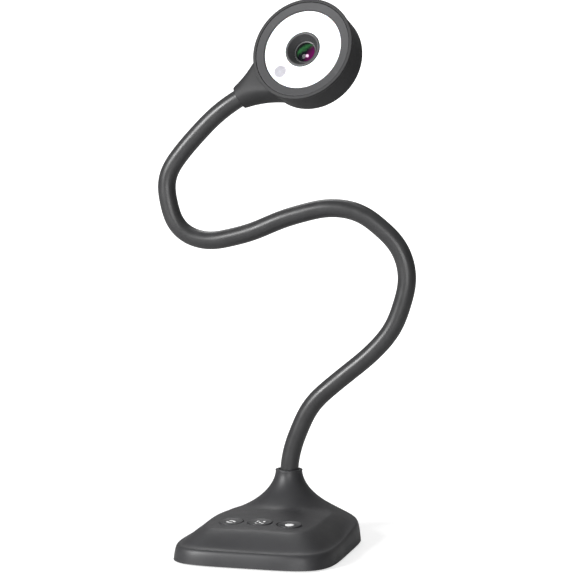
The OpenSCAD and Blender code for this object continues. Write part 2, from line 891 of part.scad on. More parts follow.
module front_ring() {
    color([0.45, 0.45, 0.46])
    head_frame()
    rotate_extrude()
    translate([0, FACE_Z - 3.5])
    polygon([
        [DIFFUSER_R + GAP, 0], [SEAM_R - GAP, 0], [SEAM_R - GAP, 2.9], [SEAM_R - 0.35, 3.2],
        [DIFFUSER_R + 1, 2.9], [DIFFUSER_R + GAP, 2.4]
    ]);
}

MIC_X = -18.4;
MIC_Y = -5.2;
MIC_R = 4;

module diffuser() {
    color([0.95, 0.95, 0.95])
    head_frame()
    difference() {
        translate([0, 0, FACE_Z - 3.4]) cylinder(h = 2.2, r = DIFFUSER_R);
        translate([0, 0, FACE_Z - 3.4 - EPS]) cylinder(h = 1, r = DIFFUSER_R - 2);
        cylinder(h = head_t, r = BEZEL_R + GAP);
        translate([MIC_X, MIC_Y, 0]) cylinder(h = head_t, r = MIC_R + GAP);
    }
}

module lamp_board() {
    color([0.9, 0.9, 0.88])
    head_frame()
    difference() {
        translate([0, 0, LAMP_BOARD_Z]) cylinder(h = LAMP_BOARD_T, r = 28);
        cylinder(h = head_t, r = BEZEL_R + 0.3);
        screw_ring() cylinder(h = head_t, r = SCREW_R + 0.2);
    }
}

module lamps() {
    count = 12;
    color([0.95, 0.85, 0.35])
    head_frame()
    for (i = [0 : count - 1]) {
        rotate([0, 0, i * 360 / count])
            translate([18.5, 0, LAMP_BOARD_Z + LAMP_BOARD_T + GAP + 0.4])
                cube([2.8, 3.5, 0.8], center = true);
    }
}

LENS_Z = FACE_Z - 5.6;
LENS_R = 6.15;
BARREL_R = LENS_R + 0.9;

// Dark bowl round the lens, with a rounded lip and a sleeve down to the lens holder
module lens_bezel() {
    color([0.1, 0.1, 0.105])
    head_frame()
    rotate_extrude()
    polygon([
        [BARREL_R + GAP, -1], [9.2, -1], [9.2, 2], [BEZEL_R, 5.5], [BEZEL_R, FACE_Z - 1],
        [BEZEL_R - 0.9, FACE_Z - 0.55], [BEZEL_R - 1.5, FACE_Z - 0.9], [BARREL_R + GAP, LENS_Z + 0.6]
    ]);
}

module lens_barrel() {
    color([0.05, 0.05, 0.055])
    head_frame()
    difference() {
        translate([0, 0, -3]) cylinder(h = LENS_Z + 3.3, r = BARREL_R);
        translate([0, 0, LENS_Z - 3]) cylinder(h = 8, r = LENS_R + GAP);
        translate([0, 0, -4]) cylinder(h = 12, r = 4);
        translate([0, 0, -4]) cylinder(h = 3.5, r = 4.8);
    }
}

module front_lens() {
    curve = 14;
    color([0.2, 0.35, 0.3])
    head_frame()
    intersection() {
        translate([0, 0, LENS_Z - 3 + GAP]) cylinder(h = 4, r = LENS_R);
        translate([0, 0, LENS_Z - curve]) sphere(curve);
    }
}

module rear_lens() {
    color([0.4, 0.3, 0.5])
    head_frame() translate([0, 0, -2.9]) cylinder(h = 2.2, r = 4.7);
}

module lens_holder() {
    color([0.08, 0.08, 0.085])
    head_frame()
    difference() {
        translate([0, 0, -5.5]) cylinder(h = 4.4, r = 9);
        translate([0, 0, -3 - GAP]) cylinder(h = 8, r = BARREL_R + GAP);
        translate([0, 0, -6]) cylinder(h = 5, r = 4.4);
    }
}

module sensor_board() {
    color([0.05, 0.3, 0.16])
    head_frame() translate([-11, -11, -6.8]) cube([22, 22, 1.2]);
}

module image_sensor() {
    color([0.3, 0.3, 0.45])
    head_frame() translate([-2.8, -2.8, -5.5]) cube([5.6, 5.6, 1]);
}

module microphone() {
    color("silver")
    head_frame()
    translate([MIC_X, MIC_Y, LAMP_BOARD_Z + LAMP_BOARD_T + GAP]) cylinder(h = 2, r = 2);
}

// Perforated disc in the diffuser, over the microphone
module mic_mesh() {
    pitch = 1.25;
    color([0.6, 0.6, 0.6])
    head_frame()
    translate([MIC_X, MIC_Y, FACE_Z - 2.2])
    difference() {
        cylinder(h = 1.1, r = MIC_R);
        for (row = [-2 : 2]) {
            for (col = [-2 : 2]) {
                if (row * row + col * col < 8) {
                    translate([col * pitch, row * pitch, -1]) cylinder(h = 4, r = 0.3, $fn = 16);
                }
            }
        }
    }
}

module head_screws() {
    color("silver")
    head_frame()
    screw_ring() {
        translate([0, 0, LAMP_BOARD_Z - 6]) cylinder(h = 6 + LAMP_BOARD_T + GAP, r = SCREW_R - GAP);
        translate([0, 0, LAMP_BOARD_Z + LAMP_BOARD_T + GAP]) cylinder(h = 1, r = 2.2);
    }
}

HEAD_CABLE_R = 0.9;

// Cable from the stem's bush along the head and down to the edge of the sensor board
module head_cable() {
    start = stem_l - STEM_FERRULE_Z - 1;
    bend = 12.5;
    depth = 6.2;
    color([0.1, 0.1, 0.1])
    head_frame() {
        translate([-start, 0, 0]) rotate([0, 90, 0]) cylinder(h = start - bend, r = HEAD_CABLE_R);
        translate([-bend, 0, 0]) sphere(HEAD_CABLE_R);
        translate([-bend, 0, -depth]) cylinder(h = depth, r = HEAD_CABLE_R);
    }
}

base_shell();
shell_posts();
base_plate();
ballast_weight();
ballast_screws();
base_screws();
rubber_feet();
control_board();
key_switches();
usb_socket();
usb_board();
neck_ferrule();
neck_screws();
base_cable();
rotate_key();
rotate_mark();
focus_key();
focus_mark();
light_key();
light_mark();
sleeve_0();
link_0();
sleeve_1();
link_1();
sleeve_2();
link_2();
sleeve_3();
link_3();
sleeve_4();
link_4();
sleeve_5();
link_5();
sleeve_6();
link_6();
sleeve_7();
link_7();
sleeve_8();
link_8();
stem_ferrule();
head_shell();
front_ring();
diffuser();
lamp_board();
lamps();
lens_bezel();
lens_barrel();
front_lens();
rear_lens();
lens_holder();
sensor_board();
image_sensor();
microphone();
mic_mesh();
head_screws();
head_cable();
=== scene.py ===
"""Look of the document camera: smooth skins, keys, head, lens, materials, camera and light.

Lengths given to the builders are in millimetres, in the frame of the CAD model.
"""

import json
import math

import bmesh
import bpy
import numpy as np
from mathutils import Matrix, Vector


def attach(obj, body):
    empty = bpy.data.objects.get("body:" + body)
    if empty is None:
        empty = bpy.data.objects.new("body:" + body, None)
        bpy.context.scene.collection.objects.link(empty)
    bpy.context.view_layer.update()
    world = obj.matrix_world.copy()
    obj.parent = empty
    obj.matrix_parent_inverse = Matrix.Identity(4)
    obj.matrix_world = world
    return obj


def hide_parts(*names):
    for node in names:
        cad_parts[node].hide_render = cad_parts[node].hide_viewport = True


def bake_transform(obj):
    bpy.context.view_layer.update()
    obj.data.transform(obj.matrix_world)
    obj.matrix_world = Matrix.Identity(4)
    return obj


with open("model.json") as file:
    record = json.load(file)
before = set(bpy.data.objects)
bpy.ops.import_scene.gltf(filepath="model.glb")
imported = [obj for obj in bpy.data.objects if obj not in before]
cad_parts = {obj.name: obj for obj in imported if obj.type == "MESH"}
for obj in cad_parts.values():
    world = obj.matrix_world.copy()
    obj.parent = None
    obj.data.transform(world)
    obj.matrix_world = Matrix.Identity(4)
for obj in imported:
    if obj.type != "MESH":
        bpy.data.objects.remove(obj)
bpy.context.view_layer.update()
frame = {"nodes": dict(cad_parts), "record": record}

MM = 0.001
TAU = 2 * math.pi

# ---------------------------------------------------------------------------------------------
# Sizes shared with the CAD model
# ---------------------------------------------------------------------------------------------

# Base's outline: a soft square that narrows to the rear
BASE_W = 100
BASE_D = 116
BASE_TAPER = 0.05
BASE_SQUARE = 4.8
# Base's steep edge, rounded shoulder and crowned top
EDGE_H = 4
EDGE_DRAFT = 1.2
EDGE_ROUND = 3
SHOULDER_H = 16.5
SHOULDER_RUN = 18.5
SHOULDER_POWER = 1.3
CROWN_RISE = 5
WALL = 2.2
FOOT_LIFT = 0.8
# Neck that rises from the top round the arm
NECK_Y = 40
NECK_TOP = 42
NECK_R = 8.6
NECK_BORE = 6.2
NECK_CEILING = 24
NECK_LIP = 0.7
FLARE_RUN = 62
FLARE_FOOT = 9.3
FLARE_POWER = 1.85
FLARE_BLEND = 2
# Feet, and the opening for the socket
CORNER_X = 33
CORNER_Y = 40
FOOT_R = 6
FOOT_T = 1.75
USB_Z = 7.2
USB_HALF = 2.85
USB_R = 1.6
# Keys: cap, row, dished top, rounded rims, and the flange and stem under the moulding
KEY_R = 7.2
KEY_PITCH = 18.1
KEY_ROW = 22
KEY_GAP = 0.25
DISH_DEPTH = 0.7
DISH_LIFT = 0.5
DISH_RIM = 0.75
KEY_ROUND = 0.35
HOLE_ROUND = 0.5
FLANGE_REACH = 0.9
FLANGE_TOP = -WALL - 1.4
FLANGE_LOW = -WALL - 2.6
KEY_STEM_R = 2.4
# Height of a key's stem over the key's frame: board drop, switch, plunger, travel and clearance
KEY_STEM_LOW = -13 + 3.6 + 1 + 0.6 + 0.05
# Print in the dishes: lift over the plastic and thickness
PRINT_LIFT = 0.06
PRINT_T = 0.1
# Gooseneck: turns of its centre line in degrees, and the pivots along it
SLEEVE_R = 5.6
ARM_FOOT_Z = 10
RISE = 28
FIRST_TURN = -23
TURNS = [(-26, -2), (10, 24), (33, 34), (32, 23), (10, -12), (-36, -54), (-49, -8)]
LAST_TURN = -16.2
LAST_BEND = 29
LAST_TWIST = 11
FIRST_PIVOT = 60
PIVOT_PITCH = 51.5
PIVOT_FLAT = 5
PIVOTS = 8
STEM_DEPTH = 14
# Head's drum and flared stem
HEAD_R = 32.5
HEAD_ROLL = 21.3
HEAD_WALL = 2.2
HEAD_BACK_ROUND = 5
FACE_Z = 11.8
FACE_DEPTH = 3.6
CAVITY_R = 28.9
STEM_L = 50.7
STEM_R = 7.4
STEM_HOLLOW_R = 65
STEM_HOLLOW_ANGLE = 11.3
STEM_BORE = SLEEVE_R + 0.1
# Trim ring and white disc: radii, and depths of their undersides and of the disc's front
SEAM_R = 30.5
DIFFUSER_R = 24.9
RING_DEPTH = 3.5
RING_FIT = 0.12
DISC_DEPTH = 3.4
DISC_STEP = 1.2
# Bowl, barrel and front lens
BEZEL_R = 11.25
BEZEL_NECK_R = 9.2
BEZEL_STEP = 0.6
BARREL_R = 7.05
BARREL_BORE = 4
LENS_R = 6.15
LENS_Z = 6.2
LENS_CURVE = 14
LENS_T = 3
# Clearance between round parts that fit into each other
FIT = 0.05
# Microphone's mesh
MIC_X = -18.4
MIC_Y = -5.2
MIC_R = 4
MIC_T = 1.1
MIC_DEPTH = 2.2
HOLE_R = 0.24
HOLE_PITCH = 0.85

# ---------------------------------------------------------------------------------------------
# Fineness of the meshes, and how the sleeve bends
# ---------------------------------------------------------------------------------------------

# Rings and rays of the base's skin, and points round the sleeve, the stem, the head and a foot
OUTER_RINGS = 96
INNER_RINGS = 34
SKIN_RAYS = 240
SLEEVE_SIDES = 56
STEM_SIDES = 120
HEAD_SIDES = 192
FOOT_SIDES = 64
# Spacing of the sleeve's rings, half the length that smooths its bends, and its length in the stem
SLEEVE_STEP = 0.6
SMOOTH_REACH = 6
SLEEVE_IN_STEM = 7
# Reach on each side of a pivot along the centre line
BEND_REACH = 19


# ---------------------------------------------------------------------------------------------
# Mesh builders
# ---------------------------------------------------------------------------------------------


def mesh_piece(name, points, faces, sharp=35):
    """A mesh from points in millimetres, smooth except along edges sharper than the angle."""
    mesh = bpy.data.meshes.new(name)
    mesh.from_pydata([tuple(np.array(p) * MM) for p in points], [], faces)
    work = bmesh.new()
    work.from_mesh(mesh)
    bmesh.ops.remove_doubles(work, verts=work.verts, dist=1e-6)
    bmesh.ops.recalc_face_normals(work, faces=work.faces)
    work.to_mesh(mesh)
    work.free()
    mesh.shade_smooth()
    mesh.set_sharp_from_angle(angle=math.radians(sharp))
    obj = bpy.data.objects.new(name, mesh)
    bpy.context.scene.collection.objects.link(obj)
    return obj


def ring_faces(rows, cols, closed_rows=False, closed_cols=True):
    """Quads between rows of points."""
    faces = []
    for j in range(rows if closed_rows else rows - 1):
        for i in range(cols if closed_cols else cols - 1):
            a = j * cols + i
            b = j * cols + (i + 1) % cols
            step = ((j + 1) % rows - j) * cols
            faces.append((a, b, b + step, a + step))
    return faces


def rounded(corners, steps=7):
    """A polyline through (r, z, radius) corners, with an arc of the radius at each corner."""
    line = []
    for i, (r, z, radius) in enumerate(corners):
        here = np.array([r, z], float)
        if radius == 0 or i in (0, len(corners) - 1):
            line.append(here)
            continue
        back = np.array(corners[i - 1][:2], float) - here
        ahead = np.array(corners[i + 1][:2], float) - here
        back /= np.linalg.norm(back)
        ahead /= np.linalg.norm(ahead)
        half = math.acos(max(-1, min(1, back @ ahead))) / 2
        reach = radius / math.tan(half)
        middle = here + (back + ahead) / np.linalg.norm(back + ahead) * radius / math.sin(half)
        first = here + back * reach - middle
        last = here + ahead * reach - middle
        sweep = math.pi - 2 * half
        line.append(here + back * (reach + min(0.25, radius / 3)))
        for k in range(steps + 1):
            t = k / steps
            blend = math.sin((1 - t) * sweep) * first + math.sin(t * sweep) * last
            line.append(middle + blend / math.sin(sweep))
        line.append(here + ahead * (reach + min(0.25, radius / 3)))
    return line


def revolve(name, profile, place, steps=144, closed=False, sharp=35):
    """A body of revolution about the local Z axis, from (r, z) points of its half section."""
    points = []
    for r, z in profile:
        for i in range(steps):
            turn = TAU * i / steps
            points.append(place @ Vector((r * math.cos(turn), r * math.sin(turn), z)))
    faces = ring_faces(len(profile), steps, closed_rows=closed)
    return mesh_piece(name, points, faces, sharp)


def prism(name, outline, low, high, place):
    """A flat-ended prism over a closed (x, y) outline."""
    count = len(outline)
    points = [place @ Vector((x, y, z)) for z in (low, high) for x, y in outline]
    faces = ring_faces(2, count)
    faces.append(tuple(range(count)))
    faces.append(tuple(range(2 * count - 1, count - 1, -1)))
    return mesh_piece(name, points, faces)


def modified(obj, kind, **settings):
    """Adds one modifier with its settings."""
    modifier = obj.modifiers.new(kind.lower(), kind)
    for key, value in settings.items():
        setattr(modifier, key, value)
    return modifier


def apply_modifiers(obj, sharp=35):
    """Turns the modified shape into the mesh itself."""
    graph = bpy.context.evaluated_depsgraph_get()
    mesh = bpy.data.meshes.new_from_object(obj.evaluated_get(graph))
    obj.modifiers.clear()
    obj.data = mesh
    mesh.shade_smooth()
    mesh.set_sharp_from_angle(angle=math.radians(sharp))


def combine(obj, others, operation, sharp=35):
    """Cuts other meshes out of a mesh or joins them to it, and removes them."""
    for other in others:
        modified(obj, "BOOLEAN", object=other, operation=operation, solver="MANIFOLD")
    apply_modifiers(obj, sharp)
    for other in others:
        bpy.data.objects.remove(other)


def place_piece(obj, body, material, slot, *nodes):
    """Gives a piece its material and body, and hides the CAD nodes it stands for; the slot is not used."""
    obj.data.materials.clear()
    obj.data.materials.append(material)
    if body is not None:
        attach(obj, body)
    if nodes:
        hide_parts(*nodes)
    return obj


# ---------------------------------------------------------------------------------------------
# Materials
# ---------------------------------------------------------------------------------------------


class Finish:
    """One node material, with short helpers that add and link its nodes."""

    def __init__(self, name):
        self.material = bpy.data.materials.new(name)
        self.material.use_nodes = True
        self.tree = self.material.node_tree
        self.surface = self.tree.nodes["Principled BSDF"]
        self.where = self.node("ShaderNodeTexCoord").outputs["Object"]

    def node(self, kind, **settings):
        made = self.tree.nodes.new(kind)
        for key, value in settings.items():
            setattr(made, key, value)
        return made

    def join(self, source, target):
        self.tree.links.new(source, target)

    def noise(self, size_mm, detail=2, where=None):
        made = self.node("ShaderNodeTexNoise")
        made.inputs["Scale"].default_value = 1000 / size_mm
        made.inputs["Detail"].default_value = detail
        self.join(where or self.where, made.inputs["Vector"])
        return made.outputs["Fac"]

    def spread(self, value, low, high, start=0.3, stop=0.7):
        made = self.node("ShaderNodeMapRange")
        made.inputs["From Min"].default_value = start
        made.inputs["From Max"].default_value = stop
        made.inputs["To Min"].default_value = low
        made.inputs["To Max"].default_value = high
        self.join(value, made.inputs["Value"])
        return made.outputs["Result"]

    def math(self, operation, a, b):
        made = self.node("ShaderNodeMath", operation=operation)
        for socket, value in zip(made.inputs, (a, b)):
            if isinstance(value, (int, float)):
                socket.default_value = value
            else:
                self.join(value, socket)
        return made.outputs[0]

    def mix(self, share, a, b):
        made = self.node("ShaderNodeMix", data_type="RGBA")
        colour_sockets = [s for s in made.inputs if s.type == "RGBA"]
        pairs = ((made.inputs[0], share), (colour_sockets[0], a), (colour_sockets[1], b))
        for socket, value in pairs:
            if isinstance(value, (int, float)):
                socket.default_value = value
            elif isinstance(value, tuple):
                socket.default_value = (*value, 1)
            else:
                self.join(value, socket)
        return [s for s in made.outputs if s.type == "RGBA"][0]

    def bump(self, height, depth_mm, strength=1.0):
        made = self.node("ShaderNodeBump")
        made.inputs["Strength"].default_value = strength
        made.inputs["Distance"].default_value = depth_mm * MM
        self.join(height, made.inputs["Height"])
        if self.surface.inputs["Normal"].is_linked:
            self.join(self.surface.inputs["Normal"].links[0].from_socket, made.inputs["Normal"])
        self.join(made.outputs["Normal"], self.surface.inputs["Normal"])

    def edges(self, start=0.515, stop=0.58):
        """1 along worn outside edges and 0 elsewhere."""
        return self.spread(self.node("ShaderNodeNewGeometry").outputs["Pointiness"], 0, 1, start, stop)

    def set(self, **values):
        for key, value in values.items():
            socket = self.surface.inputs[key.replace("_", " ")]
            if isinstance(value, tuple):
                socket.default_value = (*value, 1)
            elif isinstance(value, (int, float)):
                socket.default_value = value
            else:
                self.join(value, socket)
        return self


def shade(colour, factor):
    """A lighter or darker version of a colour."""
    return tuple(min(1, c * factor) for c in colour)


def moulded(name, colour, rough, grain_mm=0.3, depth_mm=0.006, spec=0.4):
    """Moulded plastic with fine tool grain, uneven gloss and slightly rubbed edges."""
    f = Finish(name)
    cloud = f.noise(14, 3)
    base = f.mix(f.spread(cloud, 0, 1), shade(colour, 0.93), shade(colour, 1.07))
    f.set(Base_Color=f.mix(f.math("MULTIPLY", f.edges(), 0.35), base, shade(colour, 1.7)))
    fine = f.noise(grain_mm, 3)
    uneven = f.math("ADD", f.spread(cloud, -0.04, 0.04), f.spread(fine, rough - 0.05, rough + 0.05))
    f.set(Roughness=uneven, Specular_IOR_Level=spec)
    f.bump(fine, depth_mm)
    return f.material


def rubber(name, colour, rough=0.5, depth_mm=0.004):
    """Soft sleeve rubber: close satin surface with fine grain and a little dust."""
    f = Finish(name)
    cloud = f.noise(9, 4)
    fine = f.noise(0.22, 2)
    dust = f.math("MULTIPLY", f.spread(f.noise(1.7, 5), 0, 1, 0.55, 0.75), 0.12)
    base = f.mix(f.spread(cloud, 0, 1), shade(colour, 0.92), shade(colour, 1.08))
    f.set(Base_Color=f.mix(dust, base, shade(colour, 1.8)))
    f.set(Roughness=f.math("ADD", f.spread(cloud, -0.05, 0.05), rough), Specular_IOR_Level=0.45)
    f.set(Sheen_Weight=0.02, Sheen_Roughness=0.5)
    f.bump(fine, depth_mm)
    return f.material


def metal(name, colour, rough, brushed=True, lump_mm=0.25, depth_mm=0.003):
    """Plated or bare metal with turning marks and slight tarnish."""
    f = Finish(name)
    where = f.where
    if brushed:
        stretch = f.node("ShaderNodeMapping")
        stretch.inputs["Scale"].default_value = (1, 1, 0.06)
        f.join(f.where, stretch.inputs["Vector"])
        where = stretch.outputs["Vector"]
    marks = f.noise(lump_mm, 4, where)
    tarnish = f.noise(5, 3)
    f.set(Base_Color=f.mix(f.spread(tarnish, 0, 1), shade(colour, 0.82), shade(colour, 1.05)))
    f.set(Metallic=1.0, Roughness=f.math("ADD", f.spread(marks, -0.08, 0.08), rough))
    f.bump(marks, depth_mm)
    return f.material


def coated(name, colour, rough, lump_mm=0.6, depth_mm=0.02):
    """Powder coat or casting skin: orange-peel lumps over metal, with rubbed edges."""
    f = Finish(name)
    lumps = f.noise(lump_mm, 3)
    cloud = f.noise(11, 3)
    base = f.mix(f.spread(cloud, 0, 1), shade(colour, 0.85), shade(colour, 1.12))
    f.set(Base_Color=f.mix(f.math("MULTIPLY", f.edges(), 0.5), base, shade(colour, 2.4)))
    f.set(Roughness=f.math("ADD", f.spread(lumps, -0.08, 0.08), rough), Metallic=0.25)
    f.bump(lumps, depth_mm)
    return f.material


def circuit(name):
    """Green solder mask over copper tracks, with pale pads."""
    f = Finish(name)
    cells = f.node("ShaderNodeTexBrick")
    cells.inputs["Scale"].default_value = 260
    cells.inputs["Mortar Size"].default_value = 0.06
    f.join(f.where, cells.inputs["Vector"])
    tracks = f.mix(cells.outputs["Fac"], (0.012, 0.10, 0.045), (0.03, 0.20, 0.08))
    pads = f.node("ShaderNodeTexVoronoi")
    pads.inputs["Scale"].default_value = 300
    f.join(f.where, pads.inputs["Vector"])
    spots = f.spread(pads.outputs["Distance"], 1, 0, 0.16, 0.2)
    f.set(Base_Color=f.mix(spots, tracks, (0.55, 0.5, 0.38)))
    f.set(Roughness=f.spread(f.noise(3), 0.28, 0.42), Metallic=f.math("MULTIPLY", spots, 0.8))
    f.bump(cells.outputs["Fac"], 0.03)
    return f.material


def printed(name, colour):
    """Screen-printed ink with slight pinholes and a soft sheen."""
    f = Finish(name)
    holes = f.spread(f.noise(0.12, 4), 0, 1, 0.32, 0.42)
    f.set(Base_Color=f.mix(holes, shade(colour, 0.6), colour))
    f.set(Roughness=f.spread(f.noise(0.5), 0.45, 0.6))
    f.bump(holes, 0.01)
    return f.material


def glowing_diffuser(name):
    """Milky diffuser over lit lamps, faintly uneven over each lamp and with fine frosting."""
    f = Finish(name)
    frost = f.noise(0.18, 3)
    cloud = f.noise(7, 2)
    f.set(Base_Color=f.mix(f.spread(cloud, 0, 1), (0.86, 0.87, 0.88), (0.92, 0.92, 0.92)))
    f.set(Roughness=f.spread(frost, 0.35, 0.5), Subsurface_Weight=0.15, Subsurface_Scale=0.002)
    f.set(Emission_Color=(1.0, 1.0, 1.0), Emission_Strength=f.spread(cloud, 0.30, 0.36))
    f.bump(frost, 0.003)
    return f.material


def lens_glass(name):
    """Coated front lens: dark glass with painted reflections, a greenish streak above and a purplish patch
    below, and one small painted glint, all glowing faintly.
    """
    f = Finish(name)
    here = f.node("ShaderNodeAttribute", attribute_name="lens_place")
    split = f.node("ShaderNodeSeparateXYZ")
    f.join(here.outputs["Vector"], split.inputs["Vector"])
    across, up, reach = split.outputs
    # Painted reflection: a greenish band across the upper lens, made to sway with noise
    streaks = f.noise(1.6, 2)
    sway = f.math("MULTIPLY", f.math("SUBTRACT", streaks, 0.5), 0.7)
    height = f.math("ADD", up, sway)
    painted_green_reflection = f.math("MULTIPLY", f.spread(height, 0, 1, 0.05, 0.5), f.spread(height, 1, 0, 0.5, 0.95))
    # Painted reflection: a purplish patch toward the lower right, fading at the rim
    side = f.math("ADD", f.math("MULTIPLY", across, 0.6), f.math("MULTIPLY", up, -0.8))
    painted_violet_reflection = f.math("MULTIPLY", f.spread(side, 0, 1, 0.1, 0.8), f.spread(reach, 1, 0, 0.85, 1))
    glass = f.mix(painted_green_reflection, (0.004, 0.004, 0.006), (0.016, 0.065, 0.022))
    glass = f.mix(painted_violet_reflection, glass, (0.08, 0.004, 0.05))
    # Painted glint: a small pinkish-white spot a little below the middle of the lens
    lower = f.math("POWER", f.math("ADD", up, 0.45), 2)
    away = f.math("SQRT", f.math("ADD", f.math("POWER", across, 2), lower), 0)
    glass = f.mix(f.spread(away, 1, 0, 0.04, 0.2), glass, (0.85, 0.5, 0.75))
    # The painted reflections and glint also glow, so they show under any light
    f.set(Base_Color=glass, Emission_Color=glass, Emission_Strength=0.6)
    f.set(Roughness=f.spread(f.noise(1.1, 3), 0.03, 0.06), Specular_IOR_Level=0.05)
    return f.material


def clear_glass(name, colour):
    """Plain inner lens glass with a faint coating colour."""
    f = Finish(name)
    f.set(Base_Color=f.mix(f.spread(f.noise(4), 0, 1), colour, shade(colour, 1.3)))
    f.set(Roughness=f.spread(f.noise(0.8), 0.04, 0.09), Transmission_Weight=0.6, IOR=1.5)
    return f.material


def phosphor(name):
    """White lamp package with a yellow phosphor window."""
    f = Finish(name)
    grit = f.noise(0.15, 3)
    f.set(Base_Color=f.mix(f.spread(grit, 0, 1), (0.9, 0.72, 0.2), (0.98, 0.88, 0.45)))
    f.set(Roughness=f.spread(grit, 0.3, 0.45), Emission_Color=(1.0, 0.93, 0.75), Emission_Strength=0.6)
    f.bump(grit, 0.01)
    return f.material


SLOTS = {
    "base_plastic": moulded("base_plastic", (0.031, 0.031, 0.033), 0.45, spec=0.38),
    "plate_steel": coated("plate_steel", (0.03, 0.03, 0.031), 0.55),
    "cast_weight": coated("cast_weight", (0.16, 0.155, 0.15), 0.7, 1.2, 0.08),
    "screw_steel": metal("screw_steel", (0.62, 0.62, 0.6), 0.32),
    "foot_rubber": rubber("foot_rubber", (0.016, 0.016, 0.016), 0.75, 0.01),
    "circuit_board": circuit("circuit_board"),
    "switch_plastic": moulded("switch_plastic", (0.02, 0.02, 0.02), 0.45),
    "socket_steel": metal("socket_steel", (0.66, 0.66, 0.65), 0.28),
    "bush_brass": metal("bush_brass", (0.62, 0.44, 0.18), 0.3),
    "cable_rubber": rubber("cable_rubber", (0.018, 0.018, 0.018), 0.6),
    "key_plastic": moulded("key_plastic", (0.033, 0.033, 0.035), 0.40, 0.2, 0.003),
    "mark_print": printed("mark_print", (0.86, 0.86, 0.86)),
    "sleeve_rubber": rubber("sleeve_rubber", (0.029, 0.029, 0.030), 0.36),
    "link_steel": metal("link_steel", (0.4, 0.4, 0.41), 0.4),
    "head_plastic": moulded("head_plastic", (0.023, 0.023, 0.024), 0.55, spec=0.3),
    "ring_plastic": moulded("ring_plastic", (0.042, 0.042, 0.044), 0.5, 0.2, 0.003, 0.3),
    "diffuser_plastic": glowing_diffuser("diffuser_plastic"),
    "lamp_board_white": coated("lamp_board_white", (0.8, 0.8, 0.78), 0.4, 2.0, 0.005),
    "lamp_package": phosphor("lamp_package"),
    "bezel_plastic": moulded("bezel_plastic", (0.045, 0.045, 0.047), 0.42, 0.2, 0.002),
    "lens_glass": lens_glass("lens_glass"),
    "sensor_die": clear_glass("sensor_die", (0.12, 0.08, 0.2)),
    "microphone_can": metal("microphone_can", (0.7, 0.7, 0.69), 0.3),
    "mesh_metal": moulded("mesh_metal", (0.44, 0.43, 0.47), 0.5, 0.3, 0.01),
}
REAR_GLASS = clear_glass("rear_glass", (0.18, 0.1, 0.3))


# ---------------------------------------------------------------------------------------------
# Base
# ---------------------------------------------------------------------------------------------


def outline(angle, inward):
    """Point on the outline before its taper, for arrays of angles."""
    c = np.cos(angle)
    s = np.sin(angle)
    k = (np.abs(c) ** BASE_SQUARE + np.abs(s) ** BASE_SQUARE) ** (-1 / BASE_SQUARE)
    return (BASE_W / 2 - inward) * k * c, (BASE_D / 2 - inward) * k * s


def narrowed(x, y):
    """X after the outline's taper toward the rear."""
    return x * (1 - BASE_TAPER * (y / BASE_D + 0.5))


def shoulder(inset):
    """Height of the steep edge and the rounded shoulder, a distance in from the outline."""
    q = np.clip((inset - EDGE_DRAFT) / (SHOULDER_RUN - EDGE_DRAFT), 0, 1)
    climb = (1 - (1 - q) ** SHOULDER_POWER) ** (1 / SHOULDER_POWER)
    rim = EDGE_H * inset / EDGE_DRAFT
    return np.where(inset < EDGE_DRAFT, rim, EDGE_H + (SHOULDER_H - EDGE_H) * climb)


def skin_z(x, y, inward=0.0):
    """Height of the moulding over points before the taper, as in the CAD model."""
    a = BASE_W / 2 - inward
    b = BASE_D / 2 - inward
    reach = (np.abs(x / a) ** BASE_SQUARE + np.abs(y / b) ** BASE_SQUARE) ** (1 / BASE_SQUARE)
    inset = np.maximum(0, 1 - reach) * (a + b) / 2
    soft = sum(shoulder(np.maximum(0, inset + d)) for d in (-0.5, -0.25, 0, 0.25, 0.5)) / 5
    edge = np.where(inset < 0.5, shoulder(inset), soft)
    crown = edge + CROWN_RISE * (1 - (x / a) ** 2) * (1 - (y / b) ** 2)
    e = np.clip((np.hypot(x, y - NECK_Y) - NECK_R) / FLARE_RUN, 0, 1)
    flare = 1 - (1 - (1 - e) ** FLARE_POWER) ** (1 / FLARE_POWER)
    flare = FLARE_FOOT + (NECK_TOP - FLARE_FOOT) * flare
    step = flare - crown
    blended = (flare + crown + np.sqrt(step * step + FLARE_BLEND * FLARE_BLEND)) / 2
    weight = 1 - (1 - np.minimum(1, inset / EDGE_ROUND)) ** 2
    return crown + (blended - crown) * weight - inward


def skin_rings(inward, count, ceiling):
    """Rings of points from the neck circle out to the outline."""
    rays = TAU * np.arange(SKIN_RAYS) / SKIN_RAYS
    edge_x, edge_y = outline(rays, inward)
    away = np.hypot(edge_x, edge_y - NECK_Y)
    rings = []
    for k in range(count + 1):
        share = 0.5 - 0.5 * math.cos(math.pi * k / count)
        r = NECK_R + (away - NECK_R) * share
        x = edge_x / away * r
        y = NECK_Y + (edge_y - NECK_Y) / away * r
        z = np.clip(skin_z(x, y, inward), FOOT_LIFT, ceiling)
        rings.append(np.stack([narrowed(x, y), y, z], 1))
    return rings


def neck_ring(r, z):
    """Ring of points round the neck, on the same rays as the skin's rings."""
    edge_x, edge_y = outline(TAU * np.arange(SKIN_RAYS) / SKIN_RAYS, 0)
    away = np.hypot(edge_x, edge_y - NECK_Y)
    flat = [edge_x / away * r, NECK_Y + (edge_y - NECK_Y) / away * r]
    return np.stack([*flat, np.full(SKIN_RAYS, float(z))], 1)


def surface_frame(x, y):
    """Frame on the moulding with its origin on the surface and Z square to it."""
    slope_x = float(skin_z(x + 0.5, y) - skin_z(x - 0.5, y))
    slope_y = float(skin_z(x, y + 0.5) - skin_z(x, y - 0.5))
    up = Vector((-slope_x, -slope_y, 1)).normalized()
    turn = Vector((0, 0, 1)).rotation_difference(up).to_matrix().to_4x4()
    return Matrix.Translation((float(narrowed(x, y)), y, float(skin_z(x, y)))) @ turn


KEY_Z = float(skin_z(0.0, -KEY_ROW))
KEY_LEAN = math.atan(float(skin_z(0.0, -KEY_ROW + 0.5) - skin_z(0.0, -KEY_ROW - 0.5)))


